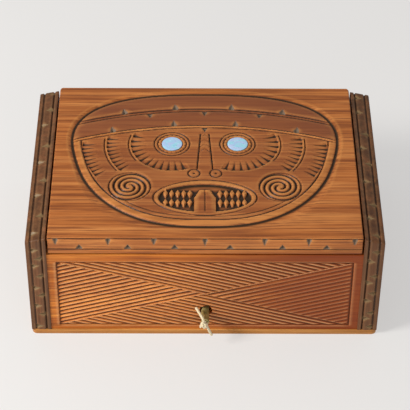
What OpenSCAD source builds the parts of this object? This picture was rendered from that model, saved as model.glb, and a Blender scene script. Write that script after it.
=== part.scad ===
// Carved ditty box: two end boards stand on a base board, a front and a back panel are housed
// between them, and a thick lid board on two brass hinges lies between the end boards.
// X runs along the front, Y goes back, Z goes up, and the origin is the middle of the underside.

/* [Box] */
// Overall width
box_w = 260; // [235:1:300]
// Depth of the end boards, front to back
box_d = 174; // [165:1:200]
// Thickness of the base board
base_t = 4.5; // [4:0.5:8]
// Radius of the base board's front corners
base_corner_r = 4; // [1:0.5:6]

/* [End boards] */
// Thickness of an end board
end_t = 14.8; // [14:0.1:18]
// How far the lid stands above the inner top edge of an end board
lid_proud = 1.1; // [0.5:0.1:3]
// Fall of an end board's top from its inner to its outer edge
end_fall = 3.3; // [1:0.1:5]
// Radius of the worn front top corner
end_front_r = 1.6; // [0.5:0.1:4]
// Radius of the rounded back top corner
end_back_r = 5; // [1:0.5:10]
// Depth of the housings that hold the panels
housing_d = 3; // [2:0.5:6]

/* [Panels] */
// Height of the front and back panels
panel_h = 77; // [70:1:100]
// Thickness of the front and back panels
panel_t = 9; // [8.5:0.5:12]
// How far the front panel and the lid are set back from the end boards' front edges
front_inset = 0.8; // [0.2:0.1:3]
// How far the back panel is set in under the lid's back edge
back_inset = 7.2; // [6.5:0.1:7.4]

/* [Lid] */
// Thickness of the lid board
lid_t = 15.6; // [14:0.1:20]
// Gap between the panels and the lid, which the hinge leaves fill
lid_gap = 1.7; // [1.6:0.1:2.4]
// Gap between the lid and each end board
lid_side_gap = 1.2; // [0.5:0.1:2]
// Radius of the lid's back corners
lid_corner_r = 3; // [1:0.5:6]
// Radius of the lid's lower front edge
lid_edge_r = 1.2; // [0.5:0.1:2]

/* [Fluted front] */
// Plain margin at each side of the fluted field
field_side = 7; // [4:0.5:12]
// Plain rail above the fluted field
field_top = 8; // [4:0.5:12]
// Plain rail below the fluted field
field_bottom = 4.5; // [3:0.5:10]
// Distance between the flutes of the side fields, square to them
flute_pitch_side = 3.65; // [2:0.05:5]
// Distance between the flutes of the upper and lower fields, square to them
flute_pitch_top = 3.25; // [2:0.05:5]
// Depth of a flute
flute_depth = 1.5; // [0.5:0.1:2]
// How far the flutes' crests lie below the plain margin
crest_drop = 0.15; // [0.1:0.05:0.4]
// Width of the stop cut round the fluted field
stop_cut_w = 0.9; // [0.5:0.1:2]

/* [Notched borders] */
// Width of a border line on an end board
line_w = 2; // [0.5:0.1:2.4]
// Depth of a border line on an end board
line_depth = 1.1; // [0.3:0.1:1.4]
// Width of the plain strip beside the lid on an end board
strip_inner = 3.4; // [2:0.1:5]
// Width of the plain strip at the outside of an end board
strip_outer = 3.6; // [2:0.1:5]
// Width of a notch at its base
notch_w = 4.4; // [2:0.1:8]
// Depth of a notch at its base
notch_depth = 2.2; // [0.5:0.1:2.6]
// Share of the band's width that a notch crosses
notch_reach = 0.7; // [0.4:0.05:0.9]
// Height of the plain strip at the bottom of the lid's front
lid_strip = 3.8; // [2:0.1:6]
// Height of the narrow ridge at the top of the lid's front
lid_ridge = 1.5; // [0.8:0.1:3]
// Width of a line on the lid's front
lid_line_w = 1.4; // [0.5:0.1:2]
// Depth of a line on the lid's front
lid_line_depth = 0.9; // [0.3:0.1:1.4]
// Length of a notch that hangs from the upper line of the lid's front
hanging_l = 6.5; // [4:0.1:8]
// Length of a notch that stands on the lower line of the lid's front
standing_l = 4.8; // [3:0.1:7]
// Width of a standing notch at its base
standing_w = 5.6; // [3:0.1:8]

/* [Lid carving] */
// Half width of the carved mask
mask_half_w = 108; // [90:1:110]
// Half height of the carved mask
mask_half_h = 75; // [60:1:80]
// Place of the mask's middle, forward or back of the lid's middle
mask_y = 3; // [-6:1:6]
// Share by which the mask narrows to its chin
mask_taper = 0.3; // [0.1:0.05:0.5]
// Depth of the ground that is cut away round the mask
ground_depth = 1.8; // [0.5:0.1:2.5]
// Width of the ground that is cut away round the mask
ground_w = 5; // [2:0.5:7]
// Width of the smooth rim of the mask
rim_w = 5; // [3:0.5:8]
// Width of the incised lines in the mask
incised_w = 1.6; // [0.8:0.1:2]
// Depth of the incised lines in the mask
incised_depth = 1.2; // [0.4:0.1:1.5]
// Distance between the two lines of a double line
double_gap = 2.6; // [1.8:0.1:4]
// Height of the upper brow line above the middle of the mask
brow_high = 58; // [50:1:64]
// Height of the lower brow line above the middle of the mask
brow_low = 38; // [36:1:44]
// Radius of the lower brow line
brow_r = 300; // [200:5:400]
// Width of a notch on a brow line
brow_notch_w = 6; // [3:0.5:7]
// Distance of an eye from the middle of the lid
eye_x = 25; // [22:0.5:27]
// Height of an eye above the middle of the mask
eye_y = 16; // [12:0.5:18]
// Depth of the carved hollows
hollow_depth = 2; // [0.8:0.1:2.5]
// Half width of the mouth
mouth_half_w = 35; // [28:1:38]
// Half height of the mouth
mouth_half_h = 16; // [10:1:17]
// Distance of the mouth below the middle of the mask
mouth_low = 45; // [42:1:48]
// Half width of the tongue
tongue_half_w = 8; // [5:0.5:10]
// Teeth in a row on each side of the tongue
tooth_count = 5; // [3:1:6]
// Distance of a cheek spiral from the middle of the lid
cheek_x = 56; // [54:1:60]
// Distance of a cheek spiral below the middle of the mask
cheek_low = 33; // [31:1:36]
// Outer radius of a cheek spiral
cheek_r = 15; // [10:0.5:16]
// Wedges in the inner fan beside each eye
inner_wedges = 12; // [8:1:14]
// Wedges in each of the two outer fans
outer_wedges = 9; // [6:1:11]
// Length of a wedge in a fan
wedge_l = 14; // [10:0.5:15]

/* [Shell discs] */
// Radius of a shell disc
disc_r = 7.7; // [5:0.1:8]
// Thickness of a shell disc
disc_t = 1.6; // [1:0.1:2.5]
// Depth of a disc's face below the lid's top
disc_sunk = 0.3; // [0.1:0.1:0.8]

/* [Hinges] */
// Length of a hinge
hinge_l = 32; // [24:1:50]
// Distance of a hinge's middle from the end board beside it
hinge_in = 43.2; // [30:0.1:75]
// Width of a hinge leaf
leaf_w = 7; // [5:0.5:8]
// Thickness of a hinge leaf
leaf_t = 0.8; // [0.6:0.05:0.8]
// Radius of a hinge knuckle
knuckle_r = 1.9; // [1.5:0.1:2.2]
// Radius of a hinge pin
hinge_pin_r = 0.8; // [0.5:0.1:1]
// Distance of the hinge pin behind the back panel
pin_behind = 1.0; // [0.8:0.1:1.4]
// Length of a hinge screw
hinge_screw_l = 8; // [5:0.5:10]

/* [Lock] */
// Radius of the keyhole
keyhole_r = 4.8; // [4:0.1:6]
// Height of the keyhole above the base board
keyhole_h = 19.4; // [16:0.1:24]
// Place of the keyhole along the front
keyhole_x = 1.0; // [-5:0.1:5]
// Place of the spindle beside the keyhole's middle
spindle_dx = -0.6; // [-0.8:0.1:0.8]
// Place of the spindle above the keyhole's middle
spindle_dz = -0.7; // [-0.8:0.1:0.8]
// Radius of the spindle
spindle_r = 2; // [1.5:0.1:2.5]
// Width of the spindle's square end
square_w = 2.4; // [1.8:0.1:2.6]
// Radius of the bearing plate
plate_r = 13; // [12:0.5:16]
// Thickness of the bearing plate
plate_t = 1.6; // [1:0.1:2]
// Distance of the latch arm from the front panel's inner face
arm_out = 5.4; // [5:0.1:8]
// Thickness of the latch arm
arm_t = 2; // [1.5:0.1:2.5]
// Width of the latch arm
arm_w = 6; // [5:0.1:8]
// Distance from the spindle to the underside of the latch arm's tooth
tooth_r = 42.5; // [36:0.5:46]
// Length of the latch arm's tooth
tooth_l = 6.5; // [5:0.1:8]
// Radius of the staple's wire
wire_r = 0.9; // [0.7:0.1:1.1]
// Free height between the staple's bar and the tooth
bar_gap = 1.2; // [0.8:0.1:2]

/* [Key] */
// Radius of the key's barrel
key_r = 3; // [2.6:0.1:3.2]
// How far the key stands out of the front panel
key_out = 11.3; // [10:0.1:16]
// How far the key's barrel reaches into the keyhole
key_in = 6.7; // [5:0.1:7]
// Distance of the cross-hole below the barrel from the key's outer end
cross_in = 2.3; // [2:0.1:4]
// Radius of the string
string_r = 1; // [0.8:0.05:1.1]

/* [Screws] */
// Radius of a screw's shank
screw_r = 1; // [0.8:0.1:1.2]
// Radius of a screw's head
screw_head_r = 2; // [1.6:0.1:2.2]
// Length of a base screw
base_screw_l = 16; // [12:1:24]
// Radius of a base screw's shank
base_screw_r = 1.5; // [1.2:0.1:1.8]
// Radius of a base screw's head
base_screw_head_r = 3; // [2.5:0.1:3.5]

/* [Hidden] */
$fn = 48;

// Finishes
lid_wood = "#A8663A";
panel_wood = "#A5602F";
stained_wood = "#57453A";
edge_wood = "#B07A44";
shell = "#9CC8E8";
brass = "#A68C48";
steel = "#8A8A86";
cotton = "#E8D8B0";

// Clearances
fit = 0.05;
running = 0.06;
free_gap = 0.3;
eps = 0.01;
beyond = 5;

// Heights and places that follow from the sizes above
end_inner_x = box_w / 2 - end_t;
front_y = -box_d / 2 + front_inset;
front_inner_y = front_y + panel_t;
back_y = box_d / 2;
back_panel_y = back_y - back_inset;
panel_top = base_t + panel_h;
lid_bottom = panel_top + lid_gap;
lid_top = lid_bottom + lid_t;
lid_half_w = end_inner_x - lid_side_gap;
end_inner_top = lid_top - lid_proud;
end_outer_top = end_inner_top - end_fall;
pin_y = back_panel_y + pin_behind;
pin_z = panel_top + lid_gap / 2;
knuckle_l = hinge_l / 3;
hinge_x = end_inner_x - hinge_in;
spindle_x = keyhole_x + spindle_dx;
spindle_z = base_t + keyhole_h + spindle_dz;
arm_y = front_inner_y + arm_out;
disc_top = lid_top - disc_sunk;

// Places of the notches as shares of half a border's length. On an end board the first list is
// beside the lid and the second outside, and on the lid's front the hanging ones come first.
left_top_notches = [[0.947, 0.71, 0.21, -0.245, -0.694], [0.505, 0, -0.431, -0.903]];
right_top_notches = [[0.897, 0.69, 0.195, -0.247, -0.713], [0.39, -0.011, -0.54, -0.92]];
left_front_notches = [[0.657, 0.257, -0.188, -0.633], [0.857, 0.502, -0.01, -0.433, -0.922]];
right_front_notches = [[0.613, 0.123, -0.299, -0.722], [0.835, 0.279, -0.121, -0.588, -0.922]];
lid_notches = [[-0.945, -0.615, -0.325, 0, 0.375, 0.66, 0.945], [-0.8, -0.49, -0.19, 0.16, 0.49, 0.77]];

// A countersunk screw with its head's face on Z = 0, pointing down. Grown by a clearance it is the
// screw's hole, and otherwise its head has a slot.
module screw(length, shank_r, head_r, grow = 0) {
    head_h = head_r - shank_r;
    slot_w = head_r / 4;
    difference() {
        rotate_extrude()
            polygon([[0, 0], [head_r + grow, 0], [shank_r + grow, -head_h - grow],
                     [shank_r + grow, -length + shank_r], [0, -length - grow]]);
        if (grow == 0)
            translate([-head_r - 1, -slot_w / 2, -head_h / 2])
                cube([2 * head_r + 2, slot_w, head_h]);
    }
}

// A notch with a V section: its base is on the X axis, its point at Y = reach, and it is deepest at
// the base's middle. The cut is carried on a little above the face Z = 0.
module chip(width, reach, depth) {
    up = 0.2;
    wide = (1 + up) * width / 2;
    polyhedron([[-wide, 0, up * depth], [wide, 0, up * depth], [0, (1 + up) * reach, up * depth],
                [0, 0, -depth]],
               [[0, 2, 1], [0, 1, 3], [1, 2, 3], [2, 0, 3]]);
}

// A V-shaped line along Y, cut down from Z = 0
module line_cut(length, width, depth) {
    up = 0.2;
    wide = (1 + up) * width / 2;
    rotate([90, 0, 0])
        linear_extrude(height = length, center = true)
            polygon([[-wide, up * depth], [wide, up * depth], [0, -depth]]);
}

// Points of a quarter circle round c, from the angle a
function quarter(c, r, a, n = 6) = [for (i = [0:n]) c + r * [cos(a + 90 * i / n), sin(a + 90 * i / n)]];

module base_board() {
    outline = concat([[box_w / 2, box_d / 2], [-box_w / 2, box_d / 2]],
        quarter([-box_w / 2 + base_corner_r, -box_d / 2 + base_corner_r], base_corner_r, 180),
        quarter([box_w / 2 - base_corner_r, -box_d / 2 + base_corner_r], base_corner_r, 270));
    color(edge_wood)
        difference() {
            linear_extrude(height = base_t) polygon(outline);
            base_screw_places() screw(base_screw_l, base_screw_r, base_screw_head_r, fit);
        }
}

// The base screws stand upside down in two rows, under the middle of each end board
module base_screw_places() {
    for (side = [-1, 1])
        for (row = [-1, 0, 1])
            translate([side * (box_w / 2 - end_t / 2), row * box_d / 3, 0])
                rotate([180, 0, 0])
                    children();
}

module base_screws() {
    color(steel)
        base_screw_places()
            translate([0, 0, -free_gap])
                screw(base_screw_l - free_gap, base_screw_r, base_screw_head_r - free_gap);
}

// Notched border on an end board. The board lies with its outer side at X = 0, its inner side at
// X = end_t, and the face that is cut on Z = 0; the border runs along Y.
module border(length, notches) {
    outer_line = strip_outer;
    inner_line = end_t - strip_inner;
    reach = (inner_line - outer_line) * notch_reach;
    for (x = [outer_line, inner_line])
        translate([x, 0, 0]) line_cut(length + 2, line_w, line_depth);
    for (share = notches[0])
        translate([inner_line, share * length / 2, 0]) rotate(90) chip(notch_w, reach, notch_depth);
    for (share = notches[1])
        translate([outer_line, share * length / 2, 0]) rotate(-90) chip(notch_w, reach, notch_depth);
}

// The right end board, with its inner side at X = 0 and its outer side at X = end_t
module end_board(top_notches, front_notches) {
    slope = atan(end_fall / end_t);
    side_view = concat([[-box_d / 2, base_t], [box_d / 2, base_t]],
        quarter([box_d / 2 - end_back_r, end_inner_top - end_back_r], end_back_r, 0),
        quarter([-box_d / 2 + end_front_r, end_inner_top - end_front_r], end_front_r, 90));
    difference() {
        rotate([90, 0, 90])
            linear_extrude(height = end_t) polygon(side_view);
        translate([0, 0, end_inner_top])
            rotate([0, slope, 0])
                translate([-beyond, -box_d, 0])
                    cube([end_t * 2, box_d * 2, beyond * 4]);
        translate([end_t, 0, end_outer_top])
            rotate([0, slope, 0])
                mirror([1, 0, 0]) border(box_d, top_notches);
        translate([end_t, -box_d / 2, (base_t + end_outer_top) / 2])
            rotate([90, 0, 0])
                mirror([1, 0, 0]) border(end_outer_top - base_t, front_notches);
        panel_housing(front_y);
        panel_housing(back_panel_y - panel_t);
    }
}

// The stopped housing for a panel whose front face is at Y = y, in an end board
module panel_housing(y) {
    translate([-eps, y, base_t - eps])
        cube([housing_d + eps, panel_t, panel_h + eps]);
}

module left_end_board() {
    color(stained_wood)
        difference() {
            translate([-end_inner_x, 0, 0])
                mirror([1, 0, 0]) end_board(left_top_notches, left_front_notches);
            base_screw_places() screw(base_screw_l, base_screw_r, base_screw_head_r, fit);
        }
}

module right_end_board() {
    color(stained_wood)
        difference() {
            translate([end_inner_x, 0, 0]) end_board(right_top_notches, right_front_notches);
            base_screw_places() screw(base_screw_l, base_screw_r, base_screw_head_r, fit);
        }
}

// Blank of a panel whose front face is at Y = y
module panel_blank(y) {
    half = end_inner_x + housing_d;
    translate([-half, y, base_t])
        cube([2 * half, panel_t, panel_h]);
}

// Flutes that run at the angle lean to the front's long side, as one comb that is cut away
module flute_comb(lean, reach, pitch) {
    count = floor(reach / pitch);
    crests = [for (i = [-count:count]) each [
        [i * pitch, crest_drop],
        [(i + 0.5) * pitch, flute_depth]]];
    rotate([0, 90 - lean, 0])
        linear_extrude(height = 4 * reach, center = true)
            polygon(concat([[-(count + 1) * pitch, -beyond]], crests, [[(count + 1) * pitch, -beyond]]));
}

// The field is parted by its two diagonals, and each part's flutes run along the diagonal that
// isn't its neighbour's
module fluted_field() {
    half_w = end_inner_x - field_side;
    low = base_t + field_bottom;
    high = panel_top - field_top;
    half_h = (high - low) / 2;
    lean = atan(half_h / half_w);
    corners = [[-half_w, -half_h], [half_w, -half_h], [half_w, half_h], [-half_w, half_h]];
    translate([0, front_y, (low + high) / 2]) {
        for (i = [0:3])
            intersection() {
                rotate([90, 0, 0])
                    linear_extrude(height = 3 * beyond, center = true)
                        polygon([[0, 0], corners[i], corners[(i + 1) % 4]]);
                if (i % 2 == 0)
                    flute_comb(-lean, half_w / 2, flute_pitch_top);
                else
                    flute_comb(lean, half_w / 2, flute_pitch_side);
            }
        for (side = [-1, 1]) {
            translate([side * half_w, 0, 0])
                cube([stop_cut_w, 2 * flute_depth, 2 * half_h + stop_cut_w], center = true);
            translate([0, 0, side * half_h])
                cube([2 * half_w, 2 * flute_depth, stop_cut_w], center = true);
        }
    }
}

module front_panel() {
    color(panel_wood)
        difference() {
            panel_blank(front_y);
            fluted_field();
            translate([keyhole_x, front_y, base_t + keyhole_h])
                rotate([90, 0, 0])
                    cylinder(r = keyhole_r, h = 4 * panel_t, center = true);
            plate_screw_places() screw(panel_t - 2, screw_r, screw_head_r, fit);
        }
}

module back_panel() {
    color(panel_wood)
        difference() {
            panel_blank(back_panel_y - panel_t);
            hinge_groove();
            leaf_screw_places(panel_top + leaf_t)
                screw(hinge_screw_l, screw_r, screw_head_r, fit);
        }
}

// Room for the knuckles in the back panel's edge and in the lid
module hinge_groove() {
    for (side = [-1, 1])
        translate([side * hinge_x, pin_y, pin_z])
            rotate([0, 90, 0])
                cylinder(r = knuckle_r + free_gap, h = hinge_l + 2 * free_gap, center = true);
}

// Two screws in each leaf, with their heads' faces at the height z
module leaf_screw_places(z) {
    for (side = [-1, 1])
        for (end = [-1, 1])
            translate([side * hinge_x + end * hinge_l / 3, back_panel_y - leaf_w / 2, z])
                children();
}

// Points of the mask's outline round its middle, grown by an offset
function mask_point(t, grow) =
    let (cx = sign(cos(t)) * pow(abs(cos(t)), 0.75),
         cy = sign(sin(t)) * pow(abs(sin(t)), 0.75),
         y = (mask_half_h + grow) * cy,
         down = (mask_half_h - y) / (2 * mask_half_h))
    [(mask_half_w + grow) * cx * (1 - mask_taper * pow(max(down, 0), 1.6)), y];

module mask_prism(grow, depth) {
    translate([0, 0, -depth])
        linear_extrude(height = depth + 1)
            polygon([for (i = [0:71]) mask_point(2.5 + i * 5, grow)]);
}

// Ring-shaped V cut of radius r in the face Z = 0
module ring_cut(r, sweep = 360) {
    rotate_extrude(angle = sweep)
        polygon([[r - incised_w / 2, eps], [r + incised_w / 2, eps], [r, -incised_depth]]);
}

// A brow line whose top is at the height y, with notches that stand on it and hang from it
module brow_line(y, standing, hanging) {
    reach = asin(mask_half_w * 0.86 / brow_r);
    translate([0, y - brow_r, 0]) {
        for (step = [0, 1])
            rotate(90 - reach) ring_cut(brow_r - step * double_gap, 2 * reach);
        for (share = standing)
            rotate(-share * reach)
                translate([0, brow_r, 0]) chip(brow_notch_w, brow_notch_w * 1.1, notch_depth);
        for (share = hanging)
            rotate(-share * reach)
                translate([0, brow_r - double_gap, 0])
                    rotate(180) chip(brow_notch_w, brow_notch_w * 1.1, notch_depth);
    }
}

// A spiral groove as a flat strip that is cut down from Z = 0
module spiral_cut(r_start, r_end, turns, start) {
    n = ceil(turns * 24);
    function at(i, side) =
        let (r = r_start + (r_end - r_start) * i / n + side * incised_w, a = start + 360 * turns * i / n)
        r * [cos(a), sin(a)];
    translate([0, 0, -incised_depth])
        linear_extrude(height = incised_depth + 1)
            polygon(concat([for (i = [0:n]) at(i, 1)], [for (i = [n:-1:0]) at(i, -1)]));
}

// A fan of wedges that point at the eye, with their bases on the radius r, from one angle to another
module fan(r, from, to, count) {
    step = (to - from) / (count - 1);
    width = 2 * r * sin(abs(step) / 2) * 0.92;
    for (i = [0:count - 1])
        rotate(from + i * step - 90)
            translate([0, r, 0])
                rotate(180) chip(width, wedge_l, hollow_depth);
}

// One side of the mask: the ringed eye and its three fans, the cheek spiral and half the nose
module mask_side() {
    eye_ring = disc_r + 3.2;
    petals = 18;
    inner_r = eye_ring + double_gap + wedge_l + 3.6;
    middle_r = inner_r + wedge_l + 4.5;
    outer_r = middle_r + wedge_l + 4.5;
    fan_top = [18, 7, -1];
    inner_low = -108;
    middle_low = -37;
    outer_low = -32;
    nostril_r = 4.4;
    nose_half_w = 6;
    nose_low = 18;
    nose_top = brow_low - 10;
    spiral_r = 3.5;
    spiral_turns = 1.2;
    translate([eye_x, eye_y, 0]) {
        for (r = [eye_ring, eye_ring + double_gap])
            ring_cut(r);
        for (i = [0:petals - 1])
            rotate(i * 360 / petals)
                translate([0, eye_ring - incised_w / 2, 0])
                    rotate(180) chip(2.4, eye_ring - incised_w / 2 - disc_r - 0.4, incised_depth);
        fan(inner_r, fan_top[0], inner_low, inner_wedges);
        fan(middle_r, fan_top[1], middle_low, outer_wedges);
        fan(outer_r, fan_top[2], outer_low, outer_wedges);
        rotate(inner_low / 3) ring_cut(inner_r + 2, fan_top[0] - inner_low / 3);
        rotate(middle_low) ring_cut(middle_r + 2, fan_top[1] - middle_low);
    }
    translate([cheek_x, -cheek_low, 0])
        for (half = [0, 180])
            spiral_cut(spiral_r, cheek_r - incised_w, spiral_turns, half);
    translate([nose_half_w + nostril_r / 2, -nose_low, 0])
        ring_cut(nostril_r);
    translate([nose_half_w * 0.75, (nose_top - nose_low) / 2, 0])
        rotate(atan(nose_half_w / 2 / (nose_top + nose_low)))
            line_cut(nose_top + nose_low - 2 * nostril_r, incised_w, incised_depth);
}

// Points of an oval as wide and high as the mouth, grown by an offset
function mouth_oval(grow) =
    [for (i = [0:47]) [(mouth_half_w + grow) * cos(i * 7.5), (mouth_half_h + grow) * sin(i * 7.5)]];

// The mouth is a hollow oval, where the teeth and the tongue are left standing
module mouth() {
    tooth_w = (mouth_half_w - tongue_half_w) / (tooth_count + 1);
    tooth_h = mouth_half_h * 0.62;
    tooth_share = 0.84;
    lip_line = 3.4;
    tongue_top = mouth_half_h * 0.55;
    tongue = [[-tongue_half_w, 0], [-tongue_half_w * 0.5, tongue_top], [tongue_half_w * 0.5, tongue_top],
              [tongue_half_w, 0], [tongue_half_w * 0.7, -mouth_half_h - 1],
              [-tongue_half_w * 0.7, -mouth_half_h - 1]];
    tooth = tooth_share / 2 * [[-tooth_w, 0], [0, -tooth_h], [tooth_w, 0], [0, tooth_h]];
    translate([0, -mouth_low, 0]) {
        difference() {
            translate([0, 0, -hollow_depth])
                linear_extrude(height = hollow_depth + 1) polygon(mouth_oval(0));
            translate([0, 0, -beyond])
                linear_extrude(height = 3 * beyond) {
                    polygon(tongue);
                    for (side = [-1, 1])
                        for (i = [0:tooth_count - 1])
                            for (row = [-1, 1])
                                translate([side * (tongue_half_w + tooth_w * (i + 0.7)), row * tooth_h / 2])
                                    polygon(tooth);
                }
        }
        translate([0, 0, -incised_depth])
            linear_extrude(height = incised_depth + 1)
                difference() {
                    polygon(mouth_oval(lip_line + incised_w / 2));
                    polygon(mouth_oval(lip_line - incised_w / 2));
                }
    }
}

// All that is cut from the lid's top, with the top on Z = 0
module lid_carving() {
    translate([0, mask_y, 0]) {
        difference() {
            mask_prism(ground_w, ground_depth);
            mask_prism(0, ground_depth + 1);
        }
        difference() {
            mask_prism(-rim_w, incised_depth);
            mask_prism(-rim_w - incised_w, incised_depth + 1);
        }
        brow_line(brow_high, [-0.66, -0.24, 0.22, 0.64], [-0.46, 0, 0.46]);
        brow_line(brow_low, [-0.75, -0.25, 0.25, 0.75], [0]);
        mask_side();
        mirror([1, 0, 0]) mask_side();
        mouth();
    }
}

module lid_blank() {
    outline = concat([[-lid_half_w, front_y], [lid_half_w, front_y]],
        quarter([lid_half_w - lid_corner_r, back_y - lid_corner_r], lid_corner_r, 0),
        quarter([-lid_half_w + lid_corner_r, back_y - lid_corner_r], lid_corner_r, 90));
    difference() {
        translate([0, 0, lid_bottom])
            linear_extrude(height = lid_t) polygon(outline);
        translate([0, front_y + lid_edge_r, lid_bottom + lid_edge_r])
            rotate([0, 90, 0])
                difference() {
                    translate([0, -beyond, -box_w])
                        cube([beyond, beyond, 2 * box_w]);
                    cylinder(r = lid_edge_r, h = 3 * box_w, center = true);
                }
    }
}

// The lid's front face lies on Z = 0 with its lower edge at Y = 0
module lid_front_carving() {
    upper = lid_t - lid_ridge;
    for (y = [lid_strip, upper])
        translate([0, y, 0])
            rotate(90) line_cut(2 * lid_half_w + 2, lid_line_w, lid_line_depth);
    for (share = lid_notches[0])
        translate([share * lid_half_w, upper, 0])
            rotate(180) chip(notch_w, hanging_l, notch_depth);
    for (share = lid_notches[1])
        translate([share * lid_half_w, lid_strip, 0])
            chip(standing_w, standing_l, notch_depth);
}

module lid_board() {
    color(lid_wood)
        difference() {
            lid_blank();
            translate([0, 0, lid_top]) lid_carving();
            translate([0, front_y, lid_bottom])
                rotate([90, 0, 0]) lid_front_carving();
            for (side = [-1, 1])
                translate([side * eye_x, mask_y + eye_y, disc_top - disc_t])
                    cylinder(r = disc_r + fit, h = beyond);
            hinge_groove();
            leaf_screw_places(lid_bottom - leaf_t)
                rotate([180, 0, 0]) screw(hinge_screw_l, screw_r, screw_head_r, fit);
            staple_legs(fit);
        }
}

module shell_disc(side) {
    color(shell)
        translate([side * eye_x, mask_y + eye_y, disc_top - disc_t])
            rotate_extrude()
                polygon([[0, 0], [disc_r, 0], [disc_r, disc_t - 0.4], [disc_r - 0.4, disc_t], [0, disc_t]]);
}

module left_shell_disc() {
    shell_disc(-1);
}

module right_shell_disc() {
    shell_disc(1);
}

// Barrel of a knuckle that covers the third i of a hinge, from -1 to 1
module knuckle(i, grow = 0) {
    gap = grow > 0 ? -free_gap : running;
    translate([i * knuckle_l, 0, 0])
        rotate([0, 90, 0])
            cylinder(r = knuckle_r + grow, h = knuckle_l - 2 * gap, center = true);
}

// A leaf with its knuckles round the X axis. The plate reaches forward, and its outer face is
// half the lid's gap below the pin, or above it on the lid's leaf.
module leaf(thirds, others, up) {
    rise = up ? lid_gap / 2 - leaf_t : -lid_gap / 2;
    difference() {
        union() {
            translate([-hinge_l / 2, -pin_behind - leaf_w, rise])
                cube([hinge_l, leaf_w + pin_behind, leaf_t]);
            for (i = thirds)
                knuckle(i);
        }
        for (i = others)
            knuckle(i, free_gap);
        rotate([0, 90, 0])
            cylinder(r = hinge_pin_r + running, h = 2 * hinge_l, center = true);
    }
}

module body_leaf(side) {
    color(brass)
        difference() {
            translate([side * hinge_x, pin_y, pin_z]) leaf([-1, 1], [0], false);
            leaf_screw_places(panel_top + leaf_t)
                screw(hinge_screw_l, screw_r, screw_head_r, fit);
        }
}

module lid_leaf(side) {
    color(brass)
        difference() {
            translate([side * hinge_x, pin_y, pin_z]) leaf([0], [-1, 1], true);
            leaf_screw_places(lid_bottom - leaf_t)
                rotate([180, 0, 0]) screw(hinge_screw_l, screw_r, screw_head_r, fit);
        }
}

module hinge_pin(side) {
    color(brass)
        translate([side * hinge_x, pin_y, pin_z])
            rotate([0, 90, 0])
                cylinder(r = hinge_pin_r, h = hinge_l, center = true);
}

module left_hinge_body_leaf() {
    body_leaf(-1);
}

module right_hinge_body_leaf() {
    body_leaf(1);
}

module left_hinge_lid_leaf() {
    lid_leaf(-1);
}

module right_hinge_lid_leaf() {
    lid_leaf(1);
}

module left_hinge_pin() {
    hinge_pin(-1);
}

module right_hinge_pin() {
    hinge_pin(1);
}

module hinge_body_screws() {
    color(brass)
        leaf_screw_places(panel_top + leaf_t)
            screw(hinge_screw_l, screw_r, screw_head_r);
}

module hinge_lid_screws() {
    color(brass)
        leaf_screw_places(lid_bottom - leaf_t)
            rotate([180, 0, 0]) screw(hinge_screw_l, screw_r, screw_head_r);
}

// The plate's screws, with their heads' faces on the plate and their points in the panel
module plate_screw_places() {
    for (i = [0:2])
        translate([spindle_x, front_inner_y + plate_t, spindle_z])
            rotate([0, 120 * i, 0])
                translate([0, 0, -plate_r + 3.2])
                    rotate([-90, 0, 0]) children();
}

module bearing_plate() {
    color(brass)
        difference() {
            translate([spindle_x, front_inner_y, spindle_z])
                rotate([-90, 0, 0]) {
                    cylinder(r = plate_r, h = plate_t);
                    cylinder(r = spindle_r + 2, h = arm_out - arm_t / 2 - running);
                }
            translate([spindle_x, front_inner_y, spindle_z])
                rotate([90, 0, 0])
                    cylinder(r = spindle_r + running, h = 4 * beyond, center = true);
            plate_screw_places() screw(panel_t - 2, screw_r, screw_head_r, fit);
        }
}

module plate_screws() {
    color(brass)
        plate_screw_places() screw(panel_t - 2, screw_r, screw_head_r);
}

// The spindle has a collar in the keyhole, a square end for the key, and a screwed inner end
module lock_spindle() {
    collar_t = 1.2;
    square_l = 7;
    inner_end = arm_out + arm_t / 2 + 4;
    color(brass)
        translate([spindle_x, front_inner_y, spindle_z])
            rotate([-90, 0, 0]) {
                cylinder(r = spindle_r, h = inner_end);
                translate([0, 0, -running - collar_t])
                    cylinder(r = spindle_r + 0.9, h = collar_t);
                translate([0, 0, -running])
                    cylinder(r = spindle_r, h = running + eps);
                translate([-square_w / 2, -square_w / 2, -running - collar_t - square_l])
                    cube([square_w, square_w, square_l]);
            }
}

// The arm lies level at rest, with its tooth up, and hooks over the staple when it stands upright
module latch_arm() {
    tip = tooth_r + 3.5;
    color(brass)
        translate([spindle_x, arm_y, spindle_z])
            rotate([90, 0, 0])
                difference() {
                    translate([0, 0, -arm_t / 2])
                        union() {
                            cylinder(r = arm_w / 2 + 1.5, h = arm_t);
                            translate([-tip, -arm_w / 2, 0])
                                cube([tip, arm_w, arm_t]);
                            translate([-tip, 0, 0])
                                cube([tip - tooth_r, arm_w / 2 + tooth_l, arm_t]);
                        }
                    cylinder(r = spindle_r + fit, h = 3 * arm_t, center = true);
                }
}

module spindle_nut() {
    color(brass)
        translate([spindle_x, arm_y + arm_t / 2 + fit, spindle_z])
            rotate([-90, 0, 0])
                difference() {
                    cylinder(r = spindle_r + 2, h = 2.6, $fn = 6);
                    translate([0, 0, -1])
                        cylinder(r = spindle_r + fit, h = beyond);
                }
}

// Two legs of the staple's wire, from its bar up into the lid
module staple_legs(grow) {
    bar_z = spindle_z + tooth_r - bar_gap - wire_r;
    for (side = [-1, 1])
        translate([spindle_x + arm_w / 2 + tooth_l / 2, arm_y + side * staple_half(), bar_z])
            cylinder(r = wire_r + grow, h = lid_bottom + 7 + grow - bar_z);
}

// Half the distance between the staple's legs
function staple_half() = arm_t / 2 + wire_r + 1.4;

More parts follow.
